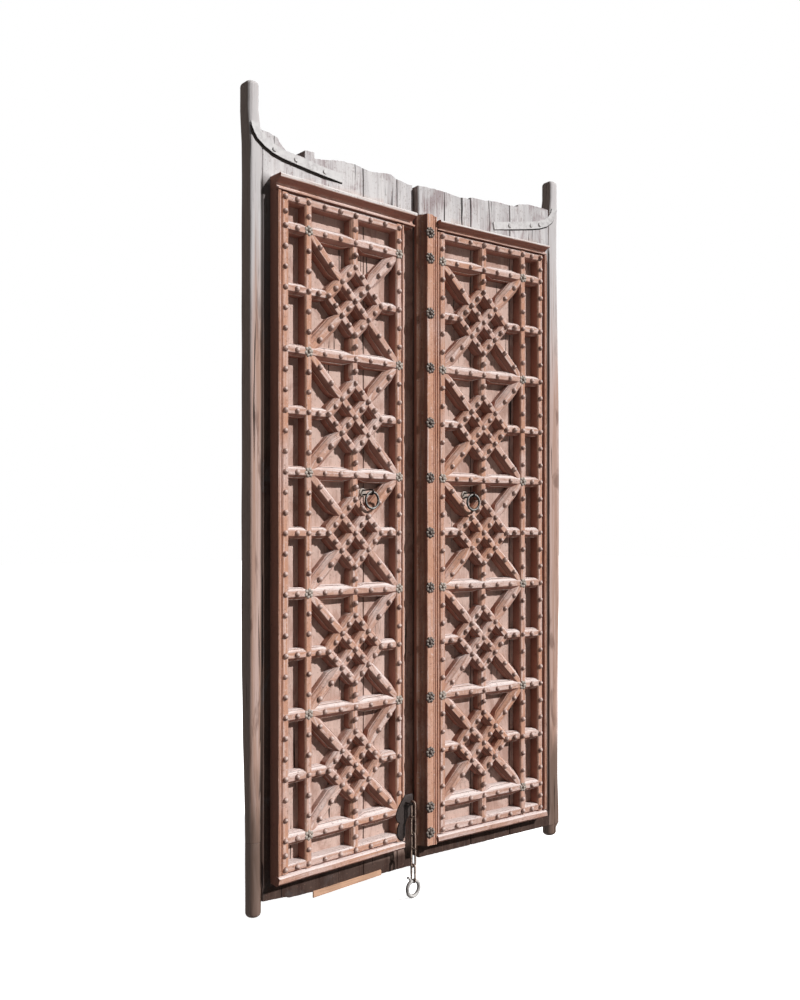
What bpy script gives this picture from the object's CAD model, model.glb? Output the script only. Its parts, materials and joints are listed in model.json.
import json
import math
import random

import bmesh
import bpy
from mathutils import Matrix, Vector, noise


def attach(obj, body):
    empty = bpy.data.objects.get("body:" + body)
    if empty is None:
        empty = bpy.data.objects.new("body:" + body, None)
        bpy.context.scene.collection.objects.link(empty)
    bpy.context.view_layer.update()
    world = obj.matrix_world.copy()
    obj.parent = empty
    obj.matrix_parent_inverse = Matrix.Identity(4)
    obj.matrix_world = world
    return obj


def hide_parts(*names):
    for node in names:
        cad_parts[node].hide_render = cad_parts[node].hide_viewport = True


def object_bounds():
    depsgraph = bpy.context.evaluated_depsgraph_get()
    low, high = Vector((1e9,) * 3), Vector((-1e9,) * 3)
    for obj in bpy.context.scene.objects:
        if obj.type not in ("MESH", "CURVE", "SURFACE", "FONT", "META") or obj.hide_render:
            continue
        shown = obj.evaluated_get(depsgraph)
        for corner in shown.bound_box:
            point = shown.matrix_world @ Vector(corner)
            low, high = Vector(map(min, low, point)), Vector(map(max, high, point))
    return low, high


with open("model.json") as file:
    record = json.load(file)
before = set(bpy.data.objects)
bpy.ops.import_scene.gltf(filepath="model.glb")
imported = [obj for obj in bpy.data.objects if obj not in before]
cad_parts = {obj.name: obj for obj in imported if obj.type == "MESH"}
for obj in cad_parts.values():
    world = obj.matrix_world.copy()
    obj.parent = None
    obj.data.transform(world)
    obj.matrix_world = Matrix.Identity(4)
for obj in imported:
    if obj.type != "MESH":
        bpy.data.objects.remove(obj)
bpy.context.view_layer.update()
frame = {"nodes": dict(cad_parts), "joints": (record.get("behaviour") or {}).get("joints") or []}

noise.seed_set(5)  # or the hand-cut unevenness would differ from run to run
joints = {j["name"]: j for j in frame["joints"]}


# Where the leaves stand: face points are (across, up, out) in metres, as on the carving's drawing

def leafTurn(joint):  # a leaf's angle, from the axis its ring pull swings on
    axis = joints[joint]["axis"]
    return math.atan2(-axis[1], -axis[0])


plankFront = 0.025
leaves = {
    "active": dict(body="active_leaf", pivot=Vector(joints["active_leaf_swing"]["pos_m"]),
                   turn=leafTurn("active_ring_swing"), side=1, inset=0.081, reach=0.540),
    "standing": dict(body="standing_leaf", pivot=Vector((0, 0, 0)),
                     turn=leafTurn("standing_ring_swing"), side=-1, inset=0.103, reach=0.516),
}
for leaf in leaves.values():
    leaf["matrix"] = (Matrix.Translation(leaf["pivot"]) @ Matrix.Rotation(leaf["turn"], 4, "Z")
                      @ Matrix.Diagonal((leaf["side"], 1, 1, 1)) @ Matrix.Translation((leaf["inset"], 0, 0)))


def onFace(leaf, across, up, out):
    return leaf["matrix"] @ Vector((across, -plankFront - out, up))


lattice = dict(border=0.0, narrow=0.084, panel=0.36, panels=5, lowRow=0.207, shortRow=0.084,
               height=0.038, baseHalf=0.013, faceHalf=0.0085, longSwell=0.0225, shortSwell=0.018,
               neck=0.05, swellFrom=0.24, knot=0.58, fillet=0.009, mould=0.015)
innerU = lattice["border"] + lattice["narrow"]
centreU = innerU + lattice["panel"] / 2
meetU = innerU + lattice["panel"]
carvingEdge = meetU + lattice["baseHalf"] + lattice["fillet"]
carvingStart = lattice["border"] - lattice["baseHalf"] - lattice["mould"]
highRow = lattice["lowRow"] + lattice["panels"] * lattice["panel"]
topBorder = highRow + lattice["shortRow"]
lowBorder = lattice["lowRow"] - lattice["shortRow"]
rowHeights = [highRow - k * lattice["panel"] for k in range(lattice["panels"] + 1)]
midHeights = [highRow - (k + 0.5) * lattice["panel"] for k in range(lattice["panels"])]


# Materials

class Wire:  # a socket; sums on it add Math nodes
    def __init__(self, bench, socket):
        self.bench, self.socket = bench, socket

    def math(self, operation, *values):
        return self.bench.node("Math", {"operation": operation}, dict(enumerate(values)))

    def __add__(self, other):
        return self.math("ADD", self, other)

    def __sub__(self, other):
        return self.math("SUBTRACT", self, other)

    def __rsub__(self, other):
        return self.math("SUBTRACT", other, self)

    def __mul__(self, other):
        return self.math("MULTIPLY", self, other)

    def larger(self, other):
        return self.math("MAXIMUM", self, other)

    __radd__ = __add__
    __rmul__ = __mul__


class Bench:  # a node tree with one way of adding nodes
    def __init__(self, tree):
        self.tree = tree

    def node(self, kind, settings=None, inputs=None, out=0):
        made = self.tree.nodes.new("ShaderNode" + kind)
        for key, value in (settings or {}).items():
            setattr(made, key, value)
        for key, value in (inputs or {}).items():
            self.feed(made.inputs[key], value)
        return Wire(self, made.outputs[out])

    def feed(self, socket, value):
        if isinstance(value, Wire):
            self.tree.links.new(value.socket, socket)
        elif hasattr(value, "__len__") and len(value) == 3 and len(socket.default_value) == 4:
            socket.default_value = (*value, 1)
        else:
            socket.default_value = value

    def seen(self):  # 1 for rays from the camera, in a reflection or through glass
        ways = ("Camera", "Glossy", "Transmission")
        camera, glossy, through = (self.node("LightPath", out=f"Is {way} Ray") for way in ways)
        return camera.larger(glossy.larger(through))


class Finish(Bench):  # one material and its shader
    def __init__(self, name, **constants):
        self.material = bpy.data.materials.new(name)
        self.material.use_nodes = True
        super().__init__(self.material.node_tree)
        self.shader = self.tree.nodes["Principled BSDF"]
        for key, value in constants.items():
            self.shader.inputs[key.replace("_", " ")].default_value = value

    def place(self):  # points of the object itself, in metres
        return self.node("TexCoord", out="Object")

    def facing(self, way):  # how far the surface faces that way, -1 to 1
        normal = self.node("TexCoord", out="Normal")
        return self.node("VectorMath", {"operation": "DOT_PRODUCT"},
                         {0: normal, 1: Vector(way).normalized()}, "Value")

    def attribute(self, name, out="Fac"):
        return self.node("Attribute", {"attribute_name": name}, out=out)

    def scaled(self, vector, by):
        return self.node("VectorMath", {"operation": "MULTIPLY"}, {0: vector, 1: by})

    def cloud(self, vector, scale, detail=3, rough=0.55, warp=0):
        return self.node("TexNoise", None, {"Vector": vector, "Scale": scale, "Detail": detail,
                                            "Roughness": rough, "Distortion": warp})

    def step(self, value, low, high):  # 0 below low, 1 above high, smooth between
        return self.node("MapRange", {"interpolation_type": "SMOOTHSTEP"},
                         {"Value": value, "From Min": low, "From Max": high})

    def mix(self, share, first, second):
        return self.node("Mix", {"data_type": "RGBA"}, {0: share, 6: first, 7: second}, 2)

    def bump(self, height, strength, distance):
        return self.node("Bump", None, {"Height": height, "Strength": strength, "Distance": distance})

    def paint(self, **sockets):
        for key, value in sockets.items():
            self.feed(self.shader.inputs[key.replace("_", " ")], value)
        return self.material


def carvedPaint():  # worn terracotta paint: bleached where sun and rain reach, deep red where sheltered
    look = dict(tan=(0.50, 0.295, 0.225), pink=(0.60, 0.41, 0.35), orange=(0.54, 0.275, 0.175),
                pale=(0.80, 0.69, 0.655), bleached=(0.80, 0.755, 0.73), under=(0.33, 0.155, 0.116),
                deep=(0.17, 0.08, 0.06), grime=(0.035, 0.02, 0.016),
                weatherSide=(0.25, -0.75, 0.6), sky=(0.1, -0.25, 1))
    f = Finish("carvedPaint", Specular_IOR_Level=0.08)
    grain = f.attribute("grain", "Vector")
    fibres = f.cloud(f.scaled(grain, (9, 380, 1)), 1, 4, 0.65)
    streaks = f.cloud(f.scaled(grain, (5, 90, 1)), 1, 4, 0.6, 0.4)
    patches = f.cloud(f.place(), 11, 5, 0.62)
    fields = f.cloud(f.place(), 3.1, 3, 0.5)
    specks = f.cloud(f.place(), 170, 3, 0.65)
    flakes = f.cloud(f.place(), 115, 4, 0.75)
    arris = f.attribute("arris")
    colour = f.mix(f.step(patches + (streaks - 0.5) * 0.5, 0.40, 0.62), look["tan"], look["pink"])
    colour = f.mix(f.step(fields + f.attribute("zone") * 0.16, 0.5, 0.68) * 0.7, colour, look["orange"])
    upper = f.step(f.facing(look["sky"]) + (patches - 0.5) * 0.7, 0.55, 0.9)
    colour = f.mix(upper * f.step(streaks, 0.25, 0.5), colour, look["pale"])
    colour = f.mix(f.step(arris + (streaks - 0.5) * 1.6, 0.62, 1.0) * 0.5, colour, look["pale"])
    crests = f.step(0 - f.attribute("zone"), 0.3, 0.9) * f.step(f.facing(look["weatherSide"]), 0.2, 0.5)
    colour = f.mix(crests * f.step(streaks, 0.25, 0.5), colour, look["bleached"])
    colour = f.mix(f.step(flakes, 0.43, 0.33) * 0.45, colour, look["pale"])
    weathered = f.step(f.facing(look["weatherSide"]) + (patches - 0.5) * 0.35, 0.1, 0.4)
    colour = f.mix(weathered, look["under"], colour)
    colour = f.mix(f.step(fibres, 0.53, 0.68) * 0.55, colour, look["under"])
    colour = f.mix(f.step(flakes, 0.57, 0.67) * 0.6, colour, look["deep"])
    colour = f.mix(f.step(streaks * 0.6 + specks * 0.4, 0.57, 0.66) * 0.5, colour, look["under"])
    colour = f.mix(f.step(fibres * 0.5 + specks * 0.5, 0.6, 0.68) * 0.5, colour, look["grime"])
    colour = f.mix(f.attribute("shelter") * 0.75, colour, look["grime"])
    relief = fibres * 0.6 + streaks * 0.4 + specks * 0.12
    return f.paint(Base_Color=colour, Roughness=0.95 - fibres * 0.2, Normal=f.bump(relief, 0.75, 0.002))


def plankPaint():  # silvered planks: grey over the carving, brown beside it, dusty pink ground behind it
    look = dict(silver=(0.50, 0.475, 0.475), pale=(0.61, 0.585, 0.58), mauve=(0.30, 0.235, 0.24),
                brown=(0.40, 0.275, 0.225), dark=(0.17, 0.10, 0.078), ground=(0.58, 0.42, 0.36),
                groundDeep=(0.37, 0.225, 0.18), shade=(0.036, 0.020, 0.016), crack=(0.018, 0.012, 0.011),
                greyFrom=1.55, greyTo=2.05, front=(0.1, -1, 0.35))
    f = Finish("plankPaint", Specular_IOR_Level=0.08)
    grain = f.attribute("grain", "Vector")
    height = f.node("SeparateXYZ", None, {0: grain})
    fibres = f.cloud(f.scaled(grain, (8, 330, 1)), 1, 5, 0.68)
    bands = f.cloud(f.scaled(grain, (1.6, 30, 1)), 1, 4, 0.6, 0.6)
    blots = f.cloud(f.scaled(grain, (7, 13, 1)), 1, 5, 0.65, 0.8)
    specks = f.cloud(f.place(), 140, 3, 0.65)
    silver = f.mix(f.step(bands, 0.40, 0.6), look["silver"], look["pale"])
    silver = f.mix(f.step(blots * 0.6 + fibres * 0.4, 0.50, 0.61) * 0.8, silver, look["mauve"])
    brown = f.mix(f.step(bands * 0.6 + blots * 0.4, 0.42, 0.6), look["brown"], look["dark"])
    brown = f.mix(f.step(blots, 0.56, 0.68) * 0.6, brown, look["silver"])
    bare = f.mix(f.step(height + (blots - 0.5) * 0.5, look["greyFrom"], look["greyTo"]), brown, silver)
    ground = f.mix(f.step(blots, 0.42, 0.66) * 0.8, look["ground"], look["groundDeep"])
    colour = f.mix(f.attribute("zone"), bare, ground)
    colour = f.mix(f.attribute("shelter"), colour, look["shade"])
    colour = f.mix(f.step(f.facing(look["front"]), 0.5, 0.1) * 0.7, colour, look["dark"])
    colour = f.mix(f.step(fibres, 0.56, 0.69) * 0.6, colour, look["dark"])
    colour = f.mix(f.step(specks, 0.58, 0.68) * 0.45, colour, look["dark"])
    cracks = f.step(f.cloud(f.scaled(grain, (2.0, 60, 1)), 1, 3, 0.5, 0.3), 0.655, 0.685)
    colour = f.mix(cracks * 0.9, colour, look["crack"])
    relief = fibres * 0.5 + specks * 0.15 - cracks * 1.5
    return f.paint(Base_Color=colour, Roughness=0.93 - fibres * 0.12, Normal=f.bump(relief, 0.7, 0.0024))


def postWood():  # the posts: silvered at the top like the planks, brown lower down, dark on the sheltered side
    look = dict(brown=(0.40, 0.255, 0.20), dark=(0.15, 0.088, 0.068), silver=(0.55, 0.52, 0.515),
                pink=(0.50, 0.36, 0.315), side=(0.36, 0.275, 0.24), foot=(0.135, 0.09, 0.07),
                crack=(0.018, 0.012, 0.01), greyFrom=1.6, greyTo=2.1, footFrom=0.42, footTo=0.22,
                front=(0.35, -1, 0.3))
    f = Finish("postWood", Specular_IOR_Level=0.08)
    grain = f.attribute("grain", "Vector")
    height = f.node("SeparateXYZ", None, {0: grain})
    fibres = f.cloud(f.scaled(grain, (6, 300, 1)), 1, 5, 0.68)
    bands = f.cloud(f.scaled(grain, (1.1, 60, 1)), 1, 4, 0.6, 0.8)
    blots = f.cloud(f.scaled(grain, (5, 30, 1)), 1, 4, 0.6, 0.5)
    colour = f.mix(f.step(bands, 0.42, 0.60), look["brown"], look["pink"])
    colour = f.mix(f.step(blots, 0.54, 0.66) * 0.6, colour, look["dark"])
    colour = f.mix(f.step(height + (bands - 0.5) * 0.8, look["greyFrom"], look["greyTo"]), colour, look["silver"])
    low = f.step(height + (blots - 0.5) * 0.4, look["footFrom"], look["footTo"])
    colour = f.mix(low * 0.85, colour, look["foot"])
    colour = f.mix(f.step(f.facing(look["front"]), 0.45, 0.1) * 0.9, colour, look["side"])
    colour = f.mix(f.step(fibres, 0.55, 0.68) * 0.6, colour, look["dark"])
    cracks = f.step(f.cloud(f.scaled(grain, (1.3, 55, 1)), 1, 3, 0.5, 0.3), 0.65, 0.685)
    colour = f.mix(cracks * 0.9, colour, look["crack"])
    colour = f.mix(f.attribute("shelter") * 0.9, colour, look["crack"])
    return f.paint(Base_Color=colour, Roughness=0.94 - fibres * 0.14,
                   Normal=f.bump(fibres * 0.5 - cracks * 1.6, 0.7, 0.0026))


def mendWood():  # new orange wood let in at the active leaf's foot
    look = dict(orange=(0.60, 0.36, 0.24), tan=(0.50, 0.30, 0.20), dark=(0.18, 0.09, 0.06))
    f = Finish("mendWood", Specular_IOR_Level=0.08)
    grain = f.attribute("grain", "Vector")
    fibres = f.cloud(f.scaled(grain, (9, 300, 1)), 1, 4, 0.6)
    colour = f.mix(f.step(f.cloud(f.place(), 14, 4, 0.6), 0.4, 0.6), look["orange"], look["tan"])
    colour = f.mix(f.step(fibres, 0.55, 0.7) * 0.6, colour, look["dark"])
    return f.paint(Base_Color=colour, Roughness=0.9 - fibres * 0.1, Normal=f.bump(fibres, 0.5, 0.0015))


def backWood():  # unpainted ledges on the back
    look = dict(brown=(0.26, 0.165, 0.115), dark=(0.12, 0.07, 0.047))
    f = Finish("backWood", Specular_IOR_Level=0.08)
    fibres = f.cloud(f.scaled(f.place(), (9, 160, 160)), 1, 5, 0.65)
    bands = f.cloud(f.scaled(f.place(), (2, 30, 30)), 1, 3, 0.6, 0.6)
    colour = f.mix(f.step(fibres * 0.5 + bands * 0.5, 0.42, 0.62), look["brown"], look["dark"])
    return f.paint(Base_Color=colour, Roughness=0.9 - fibres * 0.15, Normal=f.bump(fibres, 0.5, 0.0016))


metals = dict(  # how fine the blots are, then paint, the spots rubbed bare, and dirt
    stud=dict(name="studPaint", scale=60,
              base=(0.43, 0.28, 0.235), bare=(0.60, 0.47, 0.425), dirt=(0.21, 0.12, 0.095)),
    zinc=dict(name="zincFlower", scale=90,
              base=(0.32, 0.265, 0.225), bare=(0.44, 0.385, 0.34), dirt=(0.16, 0.125, 0.10)),
    strap=dict(name="strapPaint", scale=14,
               base=(0.52, 0.50, 0.495), bare=(0.58, 0.56, 0.55), dirt=(0.44, 0.415, 0.41)),
    boss=dict(name="bossIron", scale=80,
              base=(0.10, 0.072, 0.06), bare=(0.27, 0.23, 0.205), dirt=(0.03, 0.02, 0.017)),
    seam=dict(name="seamDirt", scale=60, gloss=0.0,
              base=(0.016, 0.013, 0.012), bare=(0.022, 0.018, 0.016), dirt=(0.01, 0.008, 0.007)),
    iron=dict(name="darkIron", scale=70, gloss=0.1,
              base=(0.034, 0.025, 0.023), bare=(0.06, 0.047, 0.043), dirt=(0.02, 0.014, 0.013)),
    chain=dict(name="chainIron", scale=60,
               base=(0.16, 0.105, 0.085), bare=(0.52, 0.39, 0.31), dirt=(0.04, 0.026, 0.021)),
    endRing=dict(name="endRingIron", scale=60,
                 base=(0.40, 0.375, 0.36), bare=(0.56, 0.54, 0.52), dirt=(0.20, 0.18, 0.17)),
    ring=dict(name="ringIron", scale=80,
              base=(0.03, 0.026, 0.024), bare=(0.42, 0.40, 0.375), dirt=(0.014, 0.011, 0.01)))


def paintedMetal(name, base, bare, dirt, scale, gloss=0.2):  # old paint over iron, rubbed through on top
    f = Finish(name, Specular_IOR_Level=gloss)
    blots = f.cloud(f.place(), scale, 4, 0.6)
    specks = f.cloud(f.place(), scale * 6, 2, 0.6)
    rubbed = f.step(f.facing((0.15, -1, 0.45)) + (specks - 0.5) * 0.8, 0.72, 1.02)
    colour = f.mix(f.step(blots, 0.42, 0.62), base, dirt)
    colour = f.mix(rubbed, colour, bare)
    return f.paint(Base_Color=colour, Roughness=0.72 - rubbed * 0.24,
                   Normal=f.bump(blots * 0.6 + specks * 0.4, 0.4, 0.0008))


finishes = dict(carved=carvedPaint(), plank=plankPaint(), post=postWood(), back=backWood(), mend=mendWood())
finishes.update((key, paintedMetal(**metal)) for key, metal in metals.items())
print("finishes made:", len(finishes))


# Mesh tools

class Pile:  # gathers one piece: points, faces, and what the finishes read along the grain
    def __init__(self):
        self.points, self.faces = [], []
        self.marks = {"grain": [], "arris": [], "zone": [], "shelter": []}

    def point(self, place, grain=(0, 0, 0), arris=0.0, zone=0.0, shelter=0.0):
        self.points.append(place)
        for key, value in (("grain", grain), ("arris", arris), ("zone", zone), ("shelter", shelter)):
            self.marks[key].append(value)
        return len(self.points) - 1

    def band(self, near, far):  # faces between two rings of point numbers
        count = len(near)
        for k in range(count):
            self.faces.append((near[k], near[(k + 1) % count], far[(k + 1) % count], far[k]))

    def loft(self, rings):  # bands from ring to ring, and a face over each end
        for near, far in zip(rings, rings[1:]):
            self.band(near, far)
        self.faces.append(tuple(rings[0]))
        self.faces.append(tuple(reversed(rings[-1])))

    def piece(self, name, body, finish, slot, nodes=(), smooth=35):
        mesh = bpy.data.meshes.new(name)
        mesh.from_pydata(self.points, [], self.faces)
        for key, values in self.marks.items():
            if key == "grain":
                made = mesh.attributes.new(key, "FLOAT_VECTOR", "POINT")
                made.data.foreach_set("vector", [n for v in values for n in v])
            elif any(values):
                made = mesh.attributes.new(key, "FLOAT", "POINT")
                made.data.foreach_set("value", values)
        work = bmesh.new()
        work.from_mesh(mesh)
        bmesh.ops.recalc_face_normals(work, faces=work.faces)
        limit = math.radians(smooth)
        for face in work.faces:
            face.smooth = True
        for edge in work.edges:
            edge.smooth = len(edge.link_faces) == 2 and edge.calc_face_angle(0) < limit
        work.to_mesh(mesh)
        work.free()
        mesh.materials.append(finishes[finish])
        made = bpy.data.objects.new(name, mesh)
        bpy.context.scene.collection.objects.link(made)
        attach(made, body)
        if nodes:
            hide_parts(*nodes)


def handCut(place, size, scale, seed=0.0):  # small unevenness of hand work
    return noise.noise_vector(Vector(place) * scale + Vector((seed, seed * 1.7, seed * 0.6))) * size


def tube(pile, path, radius, closed, sides=10, seed=0.0, rough=0.0):  # round wire along a path
    path = [Vector(p) for p in path]
    count = len(path)
    rings, side, length = [], None, 0.0
    for k, place in enumerate(path):
        before = path[k - 1] if closed or k else place
        after = path[(k + 1) % count] if closed or k < count - 1 else place
        along = (after - before).normalized()
        if side is None:
            side = along.orthogonal().normalized()
        side = (side - along * side.dot(along)).normalized()
        up = along.cross(side)
        length += (place - path[k - 1]).length if k else 0
        ring = []
        for s in range(sides):
            turn = 2 * math.pi * s / sides
            way = side * math.cos(turn) + up * math.sin(turn)
            spot = place + way * radius
            if rough:
                spot = spot + handCut(spot, rough, 90, seed)
            ring.append(pile.point(spot, (length, radius * turn, seed), 0.5))
        rings.append(ring)
    if closed:  # the frame may turn along a closed path, so the last ring is matched to the first
        first, last = ([pile.points[i] for i in ring] for ring in (rings[0], rings[-1]))
        shift = min(range(sides), key=lambda s: sum((last[(k + s) % sides] - first[k]).length for k in range(sides)))
        pile.band(rings[-1][shift:] + rings[-1][:shift], rings[0])
        for near, far in zip(rings, rings[1:]):
            pile.band(near, far)
    else:
        pile.loft(rings)


# Lattice bars

bars = dict(stationGap=0.03, unevenness=0.0006, arris=0.0011, slope=math.tan(math.radians(48)), overlap=0.0022,
            shares=(0, 0.05, 0.145, 0.235, 0.245, 0.37, 0.5, 0.63, 0.755, 0.765, 0.855, 0.95),
            flank=((1.0, 0.03, 0.4, 0), (0.92, -0.04, 0.4, 0), (0.84, 0.0, 0.2, 0.1), (0.78, 0.14, 0, 1),
                   (0.72, 0.0, 0.2, 0.1), (0.4, 0.0, 0.2, 0), (0.12, 0.02, 0.2, 0.25), (0.02, 0.05, 0.4, 0.3)),
            sink=dict(border=0.0004, row=-0.0006, narrow=0.0005, stub=0.0008, star=0.0008,
                      sideArm=0.0026, uprightArm=0.0030, knot=0.0003),  # how far fronts lie behind each other
            cornerGap=0.008, smooth=18)
barSeeds = random.Random(7)


def barSection(half, height):  # one half of a bar's section: (across, out, how worn, how dark with dirt)
    face, fall = lattice["faceHalf"], bars["slope"]
    wide = half - face
    points = [(half, 0, 0, 0.3), (half, height - wide * fall - 0.001, 0.2, 0)]
    for share, sink, worn, dirt in bars["flank"]:  # an upright side, a beaded slope and a quirk beside the front
        points.append((face + wide * share, height - wide * share * fall - wide * sink, worn, dirt))
    return points + [(face - 0.0002, height - 0.0006, 0.9, 0), (face - bars["arris"], height, 0.7, 0)]


def runBar(pile, leaf, start, end, stops, swells, height=lattice["height"], plain=False):
    start, end = Vector(start), Vector(end)
    along = end - start
    length = along.length
    along.normalize()
    across = Vector((-along.y, along.x))
    upright = max(abs(along.y) * 2 - 1, 0)  # upright wood keeps a warmer paint
    seed = barSeeds.random() * 40
    base = lattice["baseHalf"]
    stations = []
    if plain:
        count = max(2, round(length / bars["stationGap"]))
        stations = [(k / count, base) for k in range(count + 1)]
    else:
        for k, swell in enumerate(swells):
            for share in bars["shares"]:
                rise = (min(share, 1 - share) - lattice["neck"]) / (lattice["swellFrom"] - lattice["neck"])
                rise = min(max(rise, 0), 1)
                stations.append((stops[k] + share * (stops[k + 1] - stops[k]), base + (swell - base) * rise))
        stations.append((stops[-1], base))
    rings = []
    for share, half in stations:
        spot = start + along * (share * length)
        halfSection = barSection(half, height)
        section = [(-a, o, w, d) for a, o, w, d in halfSection] + list(reversed(halfSection))
        ring, reach = [], 0.0
        for k, (a, out, worn, dirt) in enumerate(section):
            reach += abs(a - section[k - 1][0]) + abs(out - section[k - 1][1]) if k else 0
            u, z = spot + across * a
            jog = handCut((u, z, out), bars["unevenness"], 22, seed) if out > 0.004 else Vector()
            place = onFace(leaf, u + jog.x, z + jog.y, max(out + jog.z * 0.5, 0))
            ring.append(pile.point(place, (share * length, reach, seed), worn, upright, dirt))
        rings.append(ring)
    pile.loft(rings)


def crossbar(pile, leaf, z, height):
    panel = lattice["panel"]
    width = meetU - lattice["border"]
    stops = [0, lattice["narrow"] / width, (lattice["narrow"] + panel / 2) / width, 1]
    swells = [lattice["shortSwell"], lattice["longSwell"], lattice["longSwell"]]
    runBar(pile, leaf, (lattice["border"], z), (meetU, z), stops, swells, height)


def star(pile, leaf, z, height):
    half = lattice["panel"] / 2
    reach = lattice["faceHalf"] * 2 / 3
    corner = half - bars["cornerGap"]
    tip = half * lattice["knot"]  # from the middle of the star to a corner of its knot
    knot = 0.5 - tip / corner / 4
    wide, short, sink = lattice["longSwell"], lattice["shortSwell"], bars["sink"]
    for i in (-1, 1):
        runBar(pile, leaf, (centreU + i * corner, z + corner), (centreU - i * corner, z - corner),
               [0, knot, 0.5, 1 - knot, 1], [wide, short, short, wide], height - bars["overlap"] * (i > 0))
        runBar(pile, leaf, (centreU + i * half, z), (centreU + i * tip, z), [0, 1], [short],
               height - sink["sideArm"])
        runBar(pile, leaf, (centreU, z + i * half), (centreU, z + i * tip), [0, 1], [short],
               height - sink["uprightArm"])
        for j in (-1, 1):
            way = Vector((i, -j)).normalized() * reach
            first = Vector((centreU + i * tip, z)) + way
            last = Vector((centreU, z + j * tip)) - way
            runBar(pile, leaf, first, last, [0, 0.5, 1], [short, short],
                   height - sink["knot"] - bars["overlap"] * (i == j))


def carvedPiece(pile, side, name, smooth=35):
    node = f"{side}_{name}"
    pile.piece(f"{node}_carved", leaves[side]["body"], "carved", "carved_wood", [node], smooth=smooth)


full = lattice["height"]
for side, leaf in leaves.items():
    pile = Pile()
    for u in (lattice["border"], innerU, meetU):
        runBar(pile, leaf, (u, lowBorder - lattice["baseHalf"]), (u, topBorder + lattice["baseHalf"]), [0, 1], [0],
               full, plain=True)
    carvedPiece(pile, side, "uprights", bars["smooth"])
    pile = Pile()
    for z in (topBorder, lowBorder):
        runBar(pile, leaf, (lattice["border"], z), (meetU, z), [0, 1], [0], full - bars["sink"]["border"], plain=True)
    carvedPiece(pile, side, "borders", bars["smooth"])
    pile = Pile()
    for z in rowHeights:
        crossbar(pile, leaf, z, full - bars["sink"]["row"])
    carvedPiece(pile, side, "crossbars", bars["smooth"])
    pile = Pile()
    for z in midHeights:
        runBar(pile, leaf, (lattice["border"], z), (innerU, z), [0, 1], [lattice["shortSwell"]],
               full - bars["sink"]["narrow"])
    for low, high in ((highRow, topBorder), (lowBorder, lattice["lowRow"])):
        runBar(pile, leaf, (centreU, low), (centreU, high), [0, 1], [lattice["shortSwell"]],
               full - bars["sink"]["stub"])
    carvedPiece(pile, side, "short_bars", bars["smooth"])
    for k, z in enumerate(midHeights):
        pile = Pile()
        star(pile, leaf, z, full - bars["sink"]["star"])
        carvedPiece(pile, side, f"star_{k + 1}", bars["smooth"])
print("lattice carved")


# Face frame: rails, mouldings and the fluted strip over the meeting line

mouldings = dict(
    topRail=dict(width=0.047, depth=0.057, shares=(
        (0, 0), (0, 0.5), (0.09, 0.5), (0.09, 0.76), (0.19, 0.76), (0.21, 0.64), (0.32, 0.56), (0.45, 0.56),
        (0.6, 0.66), (0.7, 0.84), (0.72, 0.97), (0.78, 1), (0.92, 1), (1, 0.9), (1, 0))),
    bottomRail=dict(width=0.03, depth=0.046, shares=(
        (0, 0), (0, 0.6), (0.1, 0.6), (0.14, 0.92), (0.24, 1), (0.72, 0.98), (1, 0.72), (1, 0))),
    outer=dict(width=0.015, depth=0.042, shares=(
        (0, 0), (0, 0.6), (0.16, 0.6), (0.24, 0.93), (0.34, 1), (0.6, 1), (0.68, 0.96), (0.76, 1), (0.93, 1),
        (1, 0.94), (1, 0))),
    fillet=dict(width=0.009, depth=0.038, shares=(
        (0, 0), (0, 0.86), (0.14, 0.96), (0.3, 1), (0.7, 1), (0.88, 0.97), (1, 0.9), (1, 0))),
    cover=dict(width=0.068, depth=0.044, shares=(
        (1, 0.3), (0.96, 0.38), (0.92, 0.42), (0.86, 0.55), (0.8, 0.66), (0.77, 0.69), (0.71, 0.9), (0.66, 1),
        (0.34, 1), (0.29, 0.97), (0.26, 0.88), (0.22, 0.94), (0.17, 0.93), (0.14, 0.83), (0.1, 0.91), (0.04, 0.89),
        (0, 0.8))),
    stationGap=0.025, unevenness=0.0009, ragged=0.004, bleachFrom=0.74,  # the rails' ends and pale crests
    railRun=0.042, railRise=dict(active=1, standing=0.72))


def runMoulding(pile, section, length, toFace, seed, ragged=0.0, upright=0.0, shade=(), bleach=1.0):
    # section points are (across, out); toFace turns (along, across, out) to a place
    count = max(2, round(length / mouldings["stationGap"]))
    total = sum(math.dist(a, b) for a, b in zip(section, section[1:]))
    rings = []
    for k in range(count + 1):
        along = length * k / count
        ring, reach = [], 0.0
        for n, (across, out) in enumerate(section):
            reach += math.dist(section[n - 1], section[n]) if n else 0
            jog = handCut((along * 0.6, across, out), mouldings["unevenness"], 16, seed) if out > 0.004 else Vector()
            end = 0.0
            if ragged and k in (0, count):
                end = ragged * noise.noise(Vector((across * 60, out * 60, seed)))
            crest = 0.75 if 0.02 < reach < total - 0.02 else 0.2
            tone = -1.0 if across > bleach else upright
            ring.append(pile.point(toFace(along + end, across + jog.x, max(out + jog.y, 0)),
                                   (along, reach, seed), crest if n % 2 else crest * 0.5, tone,
                                   shade[n] if shade else 0.0))
        rings.append(ring)
    pile.loft(rings)


def sized(moulding):
    return [(a * moulding["width"], b * moulding["depth"]) for a, b in moulding["shares"]]


def faceMember(side, name, moulding, length, toFace, seed, **ways):
    pile = Pile()
    runMoulding(pile, sized(moulding), length, toFace, seed, **ways)
    carvedPiece(pile, side, name)


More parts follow.
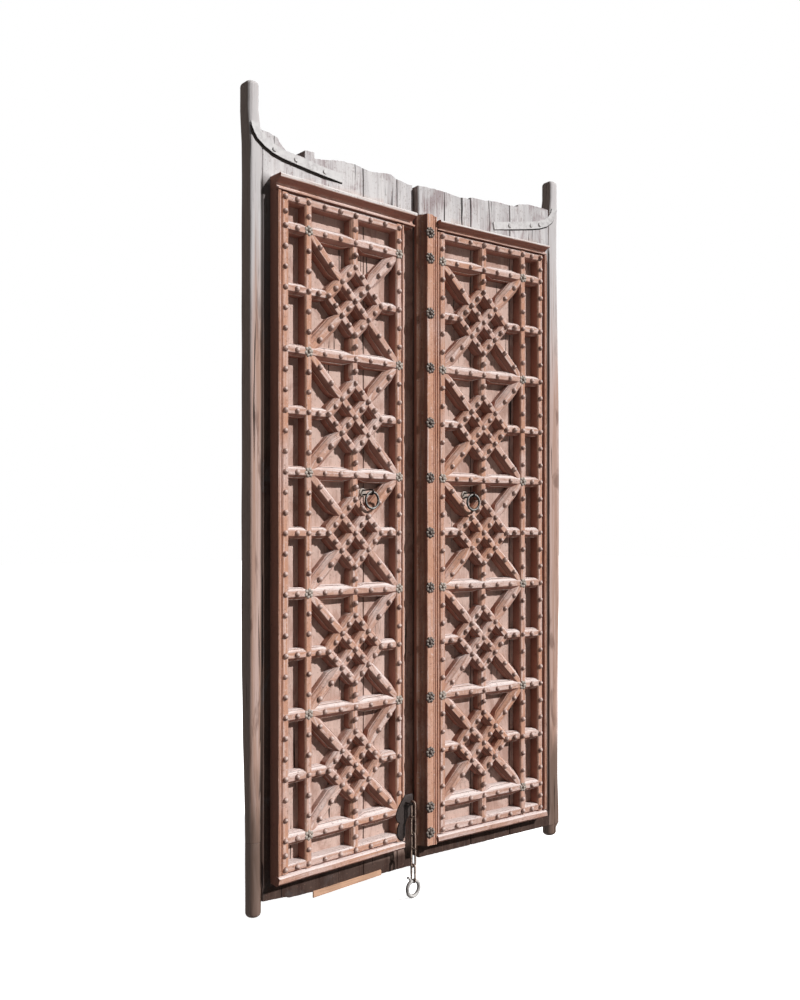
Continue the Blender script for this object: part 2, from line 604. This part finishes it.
tall = topBorder - lowBorder + 2 * lattice["baseHalf"]
foot = lowBorder - lattice["baseHalf"]
for side, leaf in leaves.items():
    run = mouldings["railRun"] if side == "active" else 0.0
    rise = mouldings["railRise"][side]
    faceMember(side, "top_rail", mouldings["topRail"], carvingEdge + run - carvingStart,
               lambda s, a, o: onFace(leaf, carvingStart + s, topBorder + lattice["baseHalf"] + a * rise, o), 3,
               ragged=mouldings["ragged"], bleach=mouldings["bleachFrom"] * mouldings["topRail"]["width"])
    faceMember(side, "bottom_rail", mouldings["bottomRail"], carvingEdge - carvingStart,
               lambda s, a, o: onFace(leaf, carvingStart + s, foot - a, o), 5, ragged=mouldings["ragged"])
    faceMember(side, "outer_moulding", mouldings["outer"], tall,
               lambda s, a, o: onFace(leaf, lattice["border"] - lattice["baseHalf"] - a, foot + s, o), 8, upright=1.0)
    faceMember(side, "inner_moulding", mouldings["fillet"], tall,
               lambda s, a, o: onFace(leaf, meetU + lattice["baseHalf"] + a, foot + s, o), 11, upright=1.0)

cover = dict(start=carvingEdge + 0.001, seat=0.049, rebate=0.003, ragged=0.003, shade=0.5, shadeFrom=0.69)
coverWidth = mouldings["cover"]["width"]
coverLow = lowBorder - lattice["baseHalf"] - mouldings["bottomRail"]["width"]
coverHigh = topBorder + lattice["baseHalf"] + mouldings["topRail"]["width"]
pile = Pile()
coverSection = [(0, 0), (cover["seat"], 0), (cover["seat"], cover["rebate"]), (coverWidth, cover["rebate"])]
coverSection += sized(mouldings["cover"])
shadeStart = cover["shadeFrom"] * coverWidth  # from here the strip turns away from the sun
coverShade = [cover["shade"] if a > shadeStart else 0.0 for a, out in coverSection]
runMoulding(pile, coverSection, coverHigh - coverLow,
            lambda s, a, o: onFace(leaves["standing"], cover["start"] + a, coverLow + s, o), 14,
            ragged=cover["ragged"], upright=1.0, shade=coverShade)
pile.piece("cover_strip_fluted", "standing_leaf", "carved", "carved_wood", ["cover_strip"])
print("face frame run")


# Studs, rosettes and bosses

studs = dict(radius=0.0088, rings=5, sides=14, smallest=0.93, spread=0.12, lean=0.12, unevenness=0.0005, seat=0.0008)
studSeeds = random.Random(19)


def third(a, b):
    return [a + (b - a) * k / 3 for k in (1, 2)]


def studPlaces(side):
    w, knot = lattice["panel"] / 2, lattice["knot"]
    narrowMid = (lattice["border"] + innerU) / 2
    places = []
    for k in range(lattice["panels"] * 6 + 1):
        z = highRow - k * lattice["panel"] / 6
        places += [(u, z) for u in (lattice["border"], innerU, meetU) if u == lattice["border"] or k % 6]
    for z in rowHeights + [topBorder, lowBorder]:
        places += [(u, z) for u in [narrowMid, centreU] + third(innerU, centreU) + third(centreU, meetU)]
    for z in (topBorder, lowBorder):
        places += [(u, z) for u in (lattice["border"], innerU, meetU)]
    for z in ((topBorder + highRow) / 2, (lowBorder + lattice["lowRow"]) / 2):
        places += [(u, z) for u in (lattice["border"], innerU, centreU, meetU)]
    for z in midHeights:
        places += [(narrowMid, z), (centreU, z)]
        for i in (-1, 1):
            places += [(centreU + i * w * s, z) for s in (knot, (1 + knot) / 2)]
            places += [(centreU, z + i * w * s) for s in (knot, (1 + knot) / 2)]
            for j in (-1, 1):
                places += [(centreU + i * w * s, z + j * w * s) for s in (knot / 4, knot / 2, 0.53, 0.77)]
                places += [(centreU + i * w * knot * 0.75, z + j * w * knot / 4),
                           (centreU + i * w * knot / 4, z + j * w * knot * 0.75)]
    if side == "active":  # the chain plate takes the place of the two lowest at the meeting edge
        return [p for p in places if p[0] < meetU - 0.001 or p[1] > lattice["lowRow"]]
    return places + [(meetU, lattice["lowRow"])]


def domeStud(pile, leaf, u, z, out):
    seed = studSeeds.random() * 30
    size = studs["radius"] * (studs["smallest"] + studs["spread"] * studSeeds.random())
    tilt = Vector([studSeeds.uniform(-studs["lean"], studs["lean"]) for way in range(2)])
    rings = []
    for r in range(studs["rings"]):
        angle = r / studs["rings"] * math.pi / 2
        reach, rise = size * math.cos(angle) ** 0.9, size * math.sin(angle)
        ring = []
        for s in range(studs["sides"]):
            turn = 2 * math.pi * s / studs["sides"]
            a, b = reach * math.cos(turn), reach * math.sin(turn)
            lean = (a * tilt.x + b * tilt.y) * (rise / size)
            jog = handCut((a, b, rise), studs["unevenness"], 240, seed) if r else Vector()
            place = onFace(leaf, u + a + jog.x, z + b + jog.y, out + max(rise + lean, 0))
            ring.append(pile.point(place, (a, b, seed)))
        rings.append(ring)
    rings.append([pile.point(onFace(leaf, u, z, out + size), (0, 0, seed))] * studs["sides"])
    for near, far in zip(rings, rings[1:]):
        for k in range(studs["sides"]):
            quad = (near[k], near[(k + 1) % studs["sides"]], far[(k + 1) % studs["sides"]], far[k])
            pile.faces.append(quad[:3] if far[0] == far[1] else quad)
    pile.faces.append(tuple(rings[0]))


flowers = dict(
    rosette=dict(radius=0.0165, petals=6, petal=0.0062, eye=0.0062, eyeRise=0.0085, petalRise=0.0036),
    boss=dict(radius=0.019, petals=8, petal=0.0062, eye=0.0072, eyeRise=0.010, petalRise=0.0048),
    seat=0.0005)


def lump(pile, leaf, u, z, out, radius, rise, seed, sides=14, rings=5):  # a low dome
    loops = []
    for r in range(rings):
        angle = r / rings * math.pi / 2
        reach, high = radius * math.cos(angle) ** 0.8, rise * math.sin(angle)
        loop = []
        for k in range(sides):
            turn = 2 * math.pi * k / sides
            place = onFace(leaf, u + reach * math.cos(turn), z + reach * math.sin(turn), out + high)
            loop.append(pile.point(place, (reach, k * 0.002, seed)))
        loops.append(loop)
    pile.loft(loops)


def flower(pile, leaf, u, z, out, kind, turn):  # round petals about a domed eye
    f, seed = flowers[kind], studSeeds.random() * 30
    out -= flowers["seat"]
    reach = f["radius"] - f["petal"]
    lump(pile, leaf, u, z, out, reach, f["petalRise"] * 0.6, seed, 20)
    for k in range(f["petals"]):
        angle = turn + 2 * math.pi * k / f["petals"]
        a, b = reach * math.cos(angle), reach * math.sin(angle)
        lump(pile, leaf, u + a, z + b, out, f["petal"], f["petalRise"], seed + k)
    lump(pile, leaf, u, z, out, f["eye"], f["eyeRise"], seed + 9, 18)


for side, leaf in leaves.items():
    pile = Pile()
    for u, z in studPlaces(side):
        domeStud(pile, leaf, u, z, lattice["height"] - studs["seat"])
    pile.piece(f"{side}_studs_domed", leaf["body"], "stud", "painted_studs", [f"{side}_studs"], smooth=70)
    pile = Pile()
    for z in rowHeights:
        for u in (innerU, meetU):
            if z > lattice["lowRow"] + 0.01 or u == innerU:
                flower(pile, leaf, u, z, lattice["height"], "rosette", studSeeds.random())
    pile.piece(f"{side}_rosettes_petalled", leaf["body"], "zinc", "zinc_flowers", [f"{side}_rosettes"], smooth=60)

pile = Pile()
coverMiddle = cover["start"] + coverWidth / 2
for z in rowHeights + midHeights + [topBorder, lowBorder]:
    flower(pile, leaves["standing"], coverMiddle, z, mouldings["cover"]["depth"], "boss", studSeeds.random())
pile.piece("cover_bosses_petalled", "standing_leaf", "boss", "dark_iron", ["cover_bosses"], smooth=60)
print("studs and flowers set")


# Planks with broken tops

planks = dict(
    thick=0.05, rise=0.258, columnGap=0.011, rowGap=0.04, chamfer=0.003, lip=0.003,
    ragged=0.002, footWear=0.0015, wave=0.0009, topEase=0.002,
    footDirt=0.9, sideDirt=0.8, jointDirt=0.95, backDirt=0.25,
    feet=dict(active=((-0.06, 0.034), (0.03, 0.026), (0.036, 0.021), (0.12, 0.017), (0.4, 0.006), (0.55, 0.001)),
              standing=((-0.08, 0.032), (0.52, 0.032))),
    joints=dict(active=(0, 0.64, 0.88, 1), standing=(0, 0.32, 0.623, 1)),
    tops=dict(
        active=(
            ((0, 1.066), (0.073, 1.058), (0.147, 1.035), (0.16, 1), (0.192, 0.946), (0.236, 0.91), (0.403, 0.905),
             (0.406, 0.993), (0.496, 1.003), (0.499, 0.93), (0.609, 0.957), (0.732, 0.996), (0.905, 1.019), (1, 1)),
            ((0, 1.006), (0.147, 0.988), (0.336, 1), (0.713, 1.035), (0.825, 1.039), (1, 0.996)),
            ((0, 1.004), (0.58, 0.985), (1, 0.988))),
        standing=(
            ((0, 1.097), (0.257, 1.099), (0.506, 1.102), (0.789, 1.061), (0.8, 1.03), (1, 1.02)),
            ((0, 1.021), (0.3, 1.019), (0.464, 1.015), (0.63, 0.996), (1, 0.988)),
            ((0, 0.957), (0.09, 0.961), (0.214, 0.95), (0.46, 0.969), (0.7, 0.973), (1, 0.965)))))


def topAt(shares, t):  # the height at t along a line of (place, height) pairs
    for (a, b), (c, d) in zip(shares, shares[1:]):
        if a <= t <= c:
            return b + (d - b) * (t - a) / (c - a)
    return shares[-1][1]


def plankZone(side, u, z):  # how pink the ground is behind the carving, and how dark with dirt
    high = coverHigh - mouldings["topRail"]["width"] * (1 - mouldings["railRise"][side])
    inCarving = carvingStart < u < carvingEdge and coverLow < z < high
    if z < coverLow:
        return 0.0, planks["footDirt"]
    if u <= carvingStart and z < coverHigh - 0.02:
        return 0.0, planks["sideDirt"]
    strip = side == "active" and u >= carvingEdge and z < coverHigh - 0.01
    return (1.0 if inCarving or strip else 0.0), 0.0


def plankPiece(side, leaf, k, name):
    joints, tops = planks["joints"][side], planks["tops"][side][k]
    post = plankFront - leaf["inset"]
    start = post + joints[k] * (leaf["reach"] - post)
    width = (joints[k + 1] - joints[k]) * (leaf["reach"] - post)
    even = max(4, round(width / planks["columnGap"]))
    lip = planks["lip"] / width
    shares = sorted({c / even for c in range(even + 1)} | {share for share, crest in tops} | {lip, 1 - lip})
    seed = 3.1 * k + (17 if side == "active" else 41)
    pile = Pile()
    rings = []
    for t in shares:
        u = start + width * t
        crest = highRow + topAt(tops, t) * planks["rise"]
        crest += planks["ragged"] * noise.noise(Vector((u * 90, seed, 0)))
        crest += planks["ragged"] * noise.noise(Vector((u * 330, seed, 4)))
        edge = planks["chamfer"] if t in (0, 1) else 0.0
        foot = topAt(planks["feet"][side], u) + planks["footWear"] * noise.noise(Vector((u * 70, seed, 8)))
        rows = round((highRow + planks["rise"]) / planks["rowGap"])
        ring = []
        for front in (True, False):
            order = range(rows + 1) if front else range(rows, -1, -1)
            for r in order:
                z = foot + (crest - foot) * r / rows
                wave = planks["wave"] * noise.noise(Vector((u * 40, z * 3, seed)))
                out = -edge - abs(wave) if front else -planks["thick"] + edge
                if front and r == rows:
                    out -= planks["topEase"]
                zone, shelter = plankZone(side, u, z) if front else (0.0, planks["backDirt"])
                if front and ((t == 0 and k > 0) or (t == 1 and k < 2)):
                    shelter = planks["jointDirt"]
                grain = (z, u if front else u + 0.7, seed)
                ring.append(pile.point(onFace(leaf, u, z, out), grain, 0, zone, shelter))
        rings.append(ring)
    pile.loft(rings)
    pile.piece(f"{name}_weathered", leaf["body"], "plank", "grey_planks", [name])


for side, leaf in leaves.items():
    for k, which in enumerate(("outer", "middle", "inner")):
        plankPiece(side, leaf, k, f"{side}_plank_{which}")

mend = dict(start=0.125, end=0.395, low=(0.0, 0.0045), high=(0.019, 0.021), seat=0.001, out=0.006, ease=0.001,
            steps=12, unevenness=0.0006)  # a new strip along the active leaf's foot
pile = Pile()
rings = []
for k in range(mend["steps"] + 1):
    t = k / mend["steps"]
    u = mend["start"] + (mend["end"] - mend["start"]) * t
    low, high = (mend[key][0] + (mend[key][1] - mend[key][0]) * t for key in ("low", "high"))
    section = [(low, mend["seat"]), (low, mend["out"] - mend["ease"]), (low + mend["ease"], mend["out"]),
               (high - mend["ease"], mend["out"]), (high, 0.004), (high, mend["seat"])]
    ring = []
    for z, out in section:
        jog = mend["unevenness"] * noise.noise(Vector((u * 60, z, 3)))
        ring.append(pile.point(onFace(leaves["active"], u, z + jog, out), (u, z, 77), 0.6))
    rings.append(ring)
pile.loft(rings)
pile.piece("active_foot_mend", "active_leaf", "mend", "bare_wood")
print("planks laid")


# Pivot posts

posts = dict(
    shaft=dict(left=-0.015, right=0.025, half=0.025, corners=(0.003, 0.004, 0.009, 0.003)),
    pin=dict(left=-0.0212, right=0.0165, half=0.0245, corners=(0.011, 0.006, 0.016, 0.010)),
    lowPin=dict(left=-0.0228, right=0.0228, half=0.0228, corners=(0.022, 0.022, 0.022, 0.022)),
    foot=0.032, top=highRow + 0.29, tip=highRow + 0.412, end=-0.012, round=0.013, splice=0.207, gap=0.03,
    footShift=0.0095, seam=0.0175, unevenness=0.0011, hewnFrom=-0.05, hewnTo=0.04, hewnSteps=6,
    merge=((0.2, 1), (0.3, 0.93), (0.4, 0.62), (0.5, 0.35), (0.75, 0)),  # the active post rounds off towards its foot
    bow=((0.03, -0.018), (0.09, -0.018), (0.2, -0.013), (0.63, -0.014), (0.85, -0.019), (1.5, -0.019), (1.72, -0.014),
         (1.94, -0.009), (2.16, -0.005), (2.3, -0.005)),  # of the standing post
    worn=dict(active=0, standing=0.017))  # how much of each upper pin is lost


def postOutline(section, shift=0.0, steps=5):  # a section about the pivot axis, each corner with its own rounding
    ring = []
    left, right, half = section["left"] + shift, section["right"] + shift, section["half"]
    places = ((right, half, 0), (left, half, 90), (left, -half, 180), (right, -half, 270))
    for (x, y, start), corner in zip(places, section["corners"]):
        middle = Vector((x - corner if x == right else x + corner, y - math.copysign(corner, y)))
        if start == 270:
            ring.append(Vector((min(posts["seam"], middle.x - 0.001), y)))
        for s in range(steps + 1):
            a = math.radians(start + 90 * s / steps)
            ring.append(middle + corner * Vector((math.cos(a), math.sin(a))))
    return ring


def between(first, last, t):
    return [p.lerp(q, t) for p, q in zip(first, last)]


def tipLevels(z, end, outline):  # a straight stretch and a rounded end
    way = 1 if end > z else -1
    middle = sum(outline, Vector((0, 0))) / len(outline)
    size = max((p - middle).length for p in outline)
    levels = straightLevels(z, end - way * posts["round"], outline)
    for k in range(1, 7):
        a = math.radians(15 * k)
        shrink = 1 - posts["round"] * (1 - math.cos(a)) / size
        level = end - way * posts["round"] * (1 - math.sin(a))
        levels.append((level, [middle + (p - middle) * shrink for p in outline]))
    return levels


def straightLevels(start, end, outline):
    count = max(2, round(abs(end - start) / posts["gap"]))
    return [(start + (end - start) * k / count, outline) for k in range(count + 1)]


def postRings(pile, side, levels, seed):
    leaf, rings = leaves[side], []
    for z, outline in levels:
        ring, reach = [], 0.0
        bow = topAt(posts["bow"], z) if side == "standing" else 0.0
        for k, p in enumerate(outline):
            reach += (p - outline[k - 1]).length if k else 0
            jog = handCut((p.x, p.y, z * 0.25), posts["unevenness"], 26, seed)
            bent = p.x + jog.x + bow * min(max(p.x / posts["shaft"]["left"], 0), 1)  # only the outer side bows
            place = leaf["matrix"] @ Vector((bent - leaf["inset"], p.y + jog.y, z))
            beside = p.x > posts["seam"] + 0.0005 and p.y < 0 and coverLow < z < coverHigh
            ring.append(pile.point(place, (z, reach, seed), 0.3, 0.0, 1.0 if beside else 0.0))
        rings.append(ring)
    pile.loft(rings)


shaft, pin, lowPin = (postOutline(posts[key]) for key in ("shaft", "pin", "lowPin"))
footOutline = postOutline(posts["lowPin"], posts["footShift"])
hewnStart, hewnEnd = posts["top"] + posts["hewnFrom"], posts["top"] + posts["hewnTo"]
hewn = []  # no shoulder under the pin
for k in range(1, posts["hewnSteps"]):
    t = k / posts["hewnSteps"]
    hewn.append((hewnStart + (hewnEnd - hewnStart) * t, between(shaft, pin, t)))
for side, low, seed in (("active", posts["splice"], 5), ("standing", posts["foot"], 9)):
    node = f"{side}_pivot_post"
    levels = straightLevels(low, hewnStart, shaft) + hewn
    if side == "active":
        levels = [(z, between(outline, footOutline, topAt(posts["merge"], z))) for z, outline in levels]
    levels += tipLevels(hewnEnd, posts["tip"] - posts["worn"][side], pin)
    if side == "standing":
        levels = list(reversed(tipLevels(posts["foot"] - 0.001, posts["end"], lowPin))) + levels
    pile = Pile()
    postRings(pile, side, levels, seed)
    pile.piece(f"{node}_weathered", leaves[side]["body"], "post", "grey_planks", [node])

pile = Pile()
postRings(pile, "active", tipLevels(posts["splice"] - 0.001, posts["end"], footOutline), 13)
pile.piece("active_pivot_foot_weathered", "active_leaf", "post", "grey_planks", ["active_pivot_foot"])
print("posts turned")


# Ring pulls, eyes and the chain

up = Vector((0, 0, 1))
forged = dict(unevenness=0.0002, smooth=60)


def faceWays(leaf):  # along the leaf's width, and straight out of its face
    turned = leaf["matrix"].to_3x3()
    return (turned @ Vector((1, 0, 0))).normalized(), (turned @ Vector((0, -1, 0))).normalized()


def standOut(leaf, place):  # how far a place stands out of the planks
    return (leaf["matrix"].inverted() @ place).y * -1 - plankFront


def arc(centre, first, second, radius, angles):  # angles in degrees, from the first way to the second
    turns = [math.radians(a) for a in angles]
    return [centre + first * (radius * math.cos(t)) + second * (radius * math.sin(t)) for t in turns]


def wholeTurn(count):
    return [360 * k / count for k in range(count)]


ringPull = dict(ring=0.052, wire=0.0078, eyeWire=0.0054, eyeReach=0.0070, legSteps=6,
                plate=0.014, plateThick=0.003, plateSides=28,
                plateSteps=((1, 0), (1, 0.55), (0.93, 0.9), (0.8, 1), (0.35, 0.8)))  # (how wide, how far out)
for side, leaf in leaves.items():
    across, outward = faceWays(leaf)
    axle = Vector(joints[f"{side}_ring_swing"]["pos_m"])
    pile = Pile()
    tube(pile, arc(axle - up * ringPull["ring"] / 2, across, up, ringPull["ring"] / 2, wholeTurn(48)),
         ringPull["wire"] / 2, True, 12, 2.0, forged["unevenness"])
    pile.piece(f"{side}_ring_pull_forged", f"{side}_ring", "ring", "dark_iron", [f"{side}_ring_pull"],
               smooth=forged["smooth"])
    pile = Pile()
    depth, reach, steps = standOut(leaf, axle), ringPull["eyeReach"], ringPull["legSteps"]
    base = axle - outward * depth
    legs = [outward * (depth * k / steps) for k in range(steps)]
    eye = [base + up * reach + leg for leg in legs]
    eye += arc(axle, up, outward, reach, range(0, 181, 15))
    eye += [base - up * reach + leg for leg in reversed(legs)]
    tube(pile, eye, ringPull["eyeWire"] / 2, False, 10, 4.0, forged["unevenness"])
    pile.piece(f"{side}_ring_eye_forged", leaf["body"], "iron", "dark_iron", smooth=forged["smooth"])
    pile = Pile()
    rings = []
    for share, rise in ringPull["plateSteps"]:
        circle = arc(base + outward * (ringPull["plateThick"] * rise), across, up, ringPull["plate"] * share,
                     wholeTurn(ringPull["plateSides"]))
        rings.append([pile.point(place, (k * 0.003, share * 0.01, 6)) for k, place in enumerate(circle)])
    pile.loft(rings)
    pile.piece(f"{side}_ring_staple_forged", leaf["body"], "zinc", "dark_iron", [f"{side}_ring_staple"], smooth=50)

chain = dict(length=0.058, width=0.0175, wire=0.0065, play=0.0005, endRing=0.05, endWire=0.0125, endRough=0.0004,
             hang=0.0085,  # the wire at which the end ring hangs on its joint
             tail=((-0.38, 0.90), (-0.44, 1.08), (-0.56, 1.28), (-0.74, 1.46), (-0.95, 1.58)),
             tailWire=0.0082, tailRough=0.0003,  # the ring's curled tail
             stapleSteps=3)
active = leaves["active"]
across, outward = faceWays(active)


def linkPath(top, way, length, width):  # an oval link that hangs from its upper end wire
    r = width / 2
    sides = [r + (length - width) * k / 5 for k in range(1, 5)]
    path = arc(top - up * r, way, up, r, range(0, 181, 18))
    path += [top - way * r - up * drop for drop in sides]
    path += arc(top - up * (length - r), way, up, r, range(180, 361, 18))
    return path + [top + way * r - up * drop for drop in reversed(sides)]


lift = chain["wire"] + chain["play"]
for k in range(1, 6):
    axle = Vector(joints[f"chain_link_{k}_swing"]["pos_m"])
    pile = Pile()
    tube(pile, linkPath(axle + up * lift, outward if k % 2 else across, chain["length"], chain["width"]),
         chain["wire"] / 2, True, 10, 1.0 * k, forged["unevenness"])
    pile.piece(f"chain_link_{k}_forged", f"link_{k}", "chain", "dark_iron", [f"chain_link_{k}"],
               smooth=forged["smooth"])

axle = Vector(joints["chain_end_ring_swing"]["pos_m"])
endReach = chain["endRing"] / 2
ringTop = axle + up * (lift + (chain["hang"] - chain["wire"]) / 2)
ringMiddle = ringTop - up * ((chain["endRing"] + chain["endWire"] - chain["hang"]) / 2)
pile = Pile()
tube(pile, arc(ringMiddle, across, up, endReach, wholeTurn(48)),
     chain["endWire"] / 2, True, 12, 8.0, chain["endRough"])
tube(pile, [ringMiddle + (across * a + up * b) * endReach for a, b in chain["tail"]],
     chain["tailWire"] / 2, False, 10, 5.0, chain["tailRough"])
pile.piece("chain_end_ring_forged", "end_ring", "endRing", "dark_iron", ["chain_end_ring"], smooth=forged["smooth"])

chainPlate = dict(start=meetU - 0.017, low=lowBorder - lattice["baseHalf"] + 0.0005,
                  width=0.074, length=0.145, thick=0.004,
                  steps=((0, 0), (0, 0.7), (0.03, 1)),  # (how far drawn in, how far out) at each level
                  shares=((0.55, 1), (0.42, 0.93), (0.2, 0.8), (0.05, 0.67), (0, 0.56), (0.07, 0.46), (0.2, 0.42),
                          (0.1, 0.3), (0.08, 0.15), (0.2, 0.04), (0.36, 0), (0.5, 0.06), (0.56, 0.16), (0.55, 0.34),
                          (0.62, 0.46), (0.8, 0.53), (0.95, 0.61), (1, 0.73), (1, 0.95), (0.95, 1)))
pile = Pile()
stapleTop = Vector(joints["chain_link_1_swing"]["pos_m"])
halfSpan = (chain["width"] + chain["wire"]) / 2
clear = standOut(active, stapleTop) - (lattice["height"] + chainPlate["thick"])
stapleFoot = stapleTop - outward * clear
legs = [outward * ((clear - halfSpan) * k / chain["stapleSteps"]) for k in range(chain["stapleSteps"])]
staple = [stapleFoot + across * halfSpan + leg for leg in legs]
staple += arc(stapleFoot + outward * (clear - halfSpan), across, outward, halfSpan, range(0, 181, 15))
staple += [stapleFoot - across * halfSpan + leg for leg in reversed(legs)]
tube(pile, staple, chain["wire"] / 2, False, 10, 3.0, forged["unevenness"])
pile.piece("chain_staple_forged", "active_leaf", "iron", "dark_iron", ["chain_staple"], smooth=forged["smooth"])

pile = Pile()
rings = []
for shrink, rise in chainPlate["steps"]:
    ring = []
    for share in chainPlate["shares"]:
        a, b = (v + (0.5 - v) * shrink for v in share)
        u, z = chainPlate["start"] + a * chainPlate["width"], chainPlate["low"] + b * chainPlate["length"]
        place = onFace(active, u, z, lattice["height"] + rise * chainPlate["thick"])
        ring.append(pile.point(place, (a * 0.07, b * 0.14, 2)))
    rings.append(ring)
pile.loft(rings)
pile.piece("chain_plate_forged", "active_leaf", "iron", "dark_iron", ["chain_plate"], smooth=30)
print("hardware forged")


# CAD pieces that keep their own solids

kept = dict(active_strap="strap", standing_strap="strap", active_ledges="back", standing_ledges="back")
softEdge = dict(width=0.001, segments=2)
for node, finish in kept.items():
    solid = frame["nodes"][node]
    solid.data.materials.clear()
    solid.data.materials.append(finishes[finish])
    bevel = solid.modifiers.new("softEdge", "BEVEL")
    bevel.width, bevel.segments, bevel.limit_method = softEdge["width"], softEdge["segments"], "ANGLE"


# The dark seam below each strap, where it has lifted from the planks

straps = dict(
    drop=dict(active=0.0095, standing=0.0035), endShare=0.4, lap=0.003, out=0.001, lowOut=0.0007,
    top=highRow + 0.2895,
    active=dict(start=-0.096, length=0.335, low=coverHigh + 0.046, shares=(
        (0, 1), (0.006, 0.89), (0.027, 0.74), (0.066, 0.55), (0.14, 0.39), (0.23, 0.26), (0.331, 0.19), (0.469, 0.14),
        (0.627, 0.09), (0.791, 0.045), (1, 0))),
    standing=dict(start=-0.118, length=0.305, low=coverHigh + 0.018, shares=(
        (0, 1), (0.026, 0.78), (0.085, 0.594), (0.17, 0.445), (0.274, 0.348), (0.416, 0.266), (0.757, 0.11), (1, 0))))
for side, leaf in leaves.items():
    strap = straps[side]
    tall = straps["top"] - strap["low"]
    line = [Vector((strap["start"] + a * strap["length"], strap["low"] + b * tall)) for a, b in strap["shares"][1:]]
    pile = Pile()
    rings = []
    for k, p in enumerate(line):
        along = (line[min(k + 1, len(line) - 1)] - line[max(k - 1, 0)]).normalized()
        aside = Vector((along.y, -along.x))
        drop = straps["drop"][side] * (straps["endShare"] if k in (0, len(line) - 1) else 1)
        high, low = p - aside * straps["lap"], p + aside * drop
        edge = [(high, 0.0), (high, straps["out"]), (low, straps["lowOut"]), (low, 0.0)]
        rings.append([pile.point(onFace(leaf, q.x, q.y, out), (k * 0.03, q.y, 3)) for q, out in edge])
    pile.loft(rings)
    pile.piece(f"{side}_strap_seam", leaf["body"], "seam", "dark_iron")


# Floor, light and camera

studio = dict(floor=(0.2, 0.2, 0.2), paper=(0.9, 0.9, 0.9), paperGlow=0.72, sky=0.06, sun=4.5, softness=2, sunSide=33,
              sunRise=34, fill=1.8, fillSoftness=50, fillSide=160, fillRise=35)
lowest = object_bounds()[0].z
bpy.ops.mesh.primitive_plane_add(size=60, location=(0, 0, lowest - 0.003))
floor = bpy.context.object
floor.name = "floor"
paper = Finish("paperFloor", Roughness=1.0, Specular_IOR_Level=0.0, Emission_Strength=studio["paperGlow"])
paper.paint(Base_Color=studio["paper"], Emission_Color=(1, 1, 1))
dull = paper.node("BsdfDiffuse", None, {"Color": studio["floor"]})
both = paper.node("MixShader", None, {0: paper.seen(), 1: dull, 2: Wire(paper, paper.shader.outputs[0])})
paper.feed(paper.tree.nodes["Material Output"].inputs["Surface"], both)
floor.data.materials.append(paper.material)

world = bpy.data.worlds.new("studioSky")
bpy.context.scene.world = world
world.use_nodes = True
sky = Bench(world.node_tree)
dim = sky.node("Background", None, {"Color": (1, 1, 1), "Strength": studio["sky"]})
white = sky.node("Background", None, {"Color": (1, 1, 1), "Strength": 1})
both = sky.node("MixShader", None, {0: sky.seen(), 1: dim, 2: white})
sky.feed(sky.tree.nodes["World Output"].inputs["Surface"], both)


def sunLamp(name, energy, softness, side, rise):
    data = bpy.data.lights.new(name, "SUN")
    data.energy, data.angle = energy, math.radians(softness)
    made = bpy.data.objects.new(name, data)
    bpy.context.scene.collection.objects.link(made)
    made.rotation_euler = (math.radians(90 - rise), 0, math.radians(side))


sunLamp("keyLamp", studio["sun"], studio["softness"], studio["sunSide"], studio["sunRise"])
sunLamp("backFill", studio["fill"], studio["fillSoftness"], studio["fillSide"], studio["fillRise"])

view = dict(lens=34.41, sensor=36, place=(-2.591, -2.476, 1.118), turn=-37.455, shift=0.0293)
cameraData = bpy.data.cameras.new("photoCamera")
cameraData.lens, cameraData.sensor_width, cameraData.shift_y = view["lens"], view["sensor"], view["shift"]
camera = bpy.data.objects.new("photoCamera", cameraData)
bpy.context.scene.collection.objects.link(camera)
camera.location = view["place"]
camera.rotation_euler = (math.radians(90), 0, math.radians(view["turn"]))
bpy.context.scene.camera = camera
bpy.context.scene.view_settings.view_transform = "Standard"
print("studio set")
